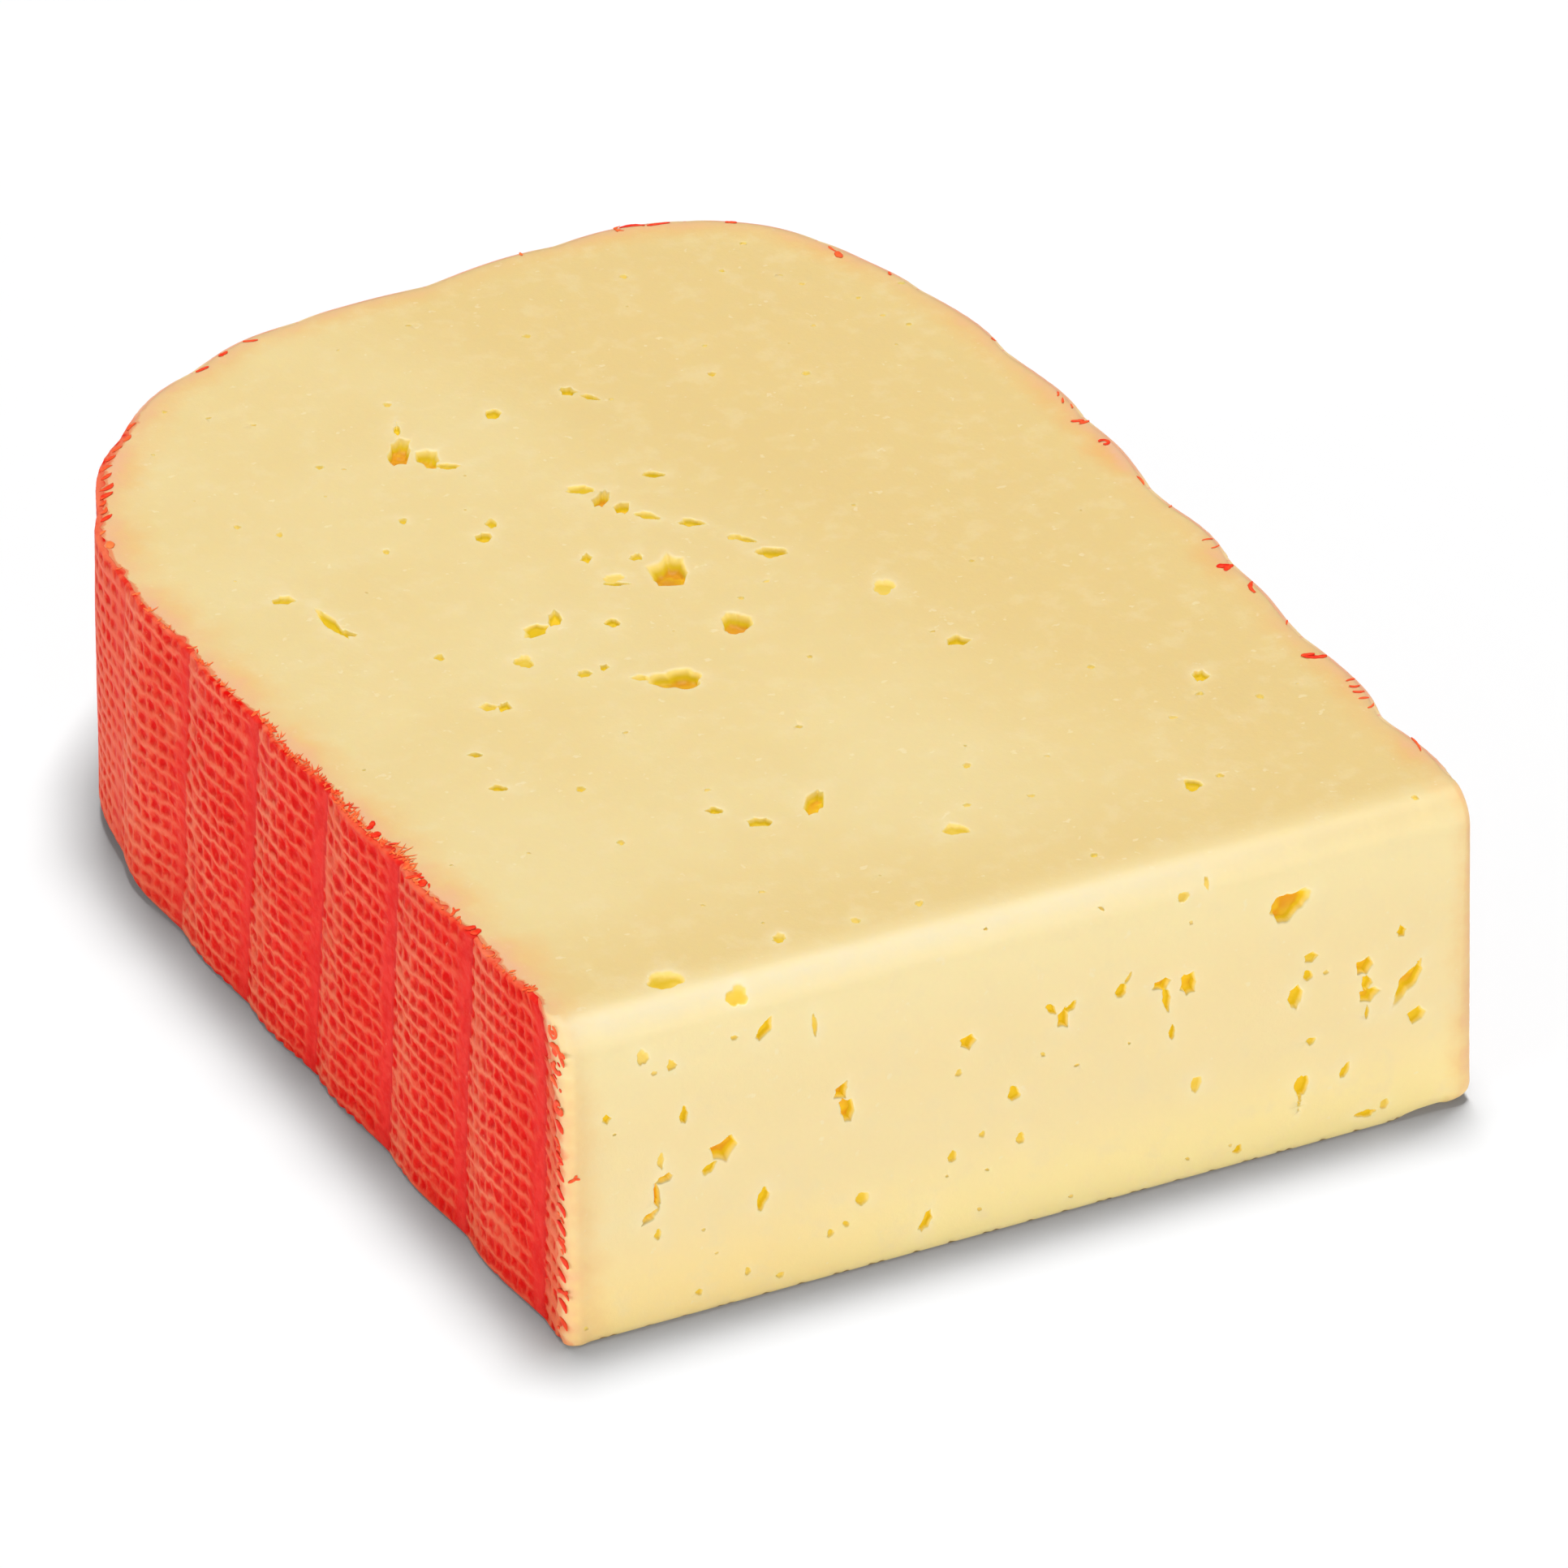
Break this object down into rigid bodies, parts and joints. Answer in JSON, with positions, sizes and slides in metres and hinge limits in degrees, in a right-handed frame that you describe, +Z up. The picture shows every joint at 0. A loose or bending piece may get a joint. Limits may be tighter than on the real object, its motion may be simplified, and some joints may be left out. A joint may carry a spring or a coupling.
{
  "type": "cheese wedge",
  "caption": "Slab-shaped wedge of pale yellow semi-soft cheese with a straight cut front, a rounded heel and a ribbed, woven red-orange rind, lying on its cut face.",
  "frame": {"origin": "middle of the bounding box of the flat underside the wedge lies on", "axes": "+X across the straight front cut, towards its right end; +Y from the front cut towards the rounded heel; +Z up"},
  "size_m": [0.0986, 0.1316, 0.033],
  "materials": {
    "paste": "soft satin, slightly waxy cut cheese with small deeper yellow openings",
    "rind": "satin, moist red-orange rind pressed with a woven cloth pattern"
  },
  "bodies": {
    "root": {"cheese_wedge": "paste"}
  },
  "joints": []
}
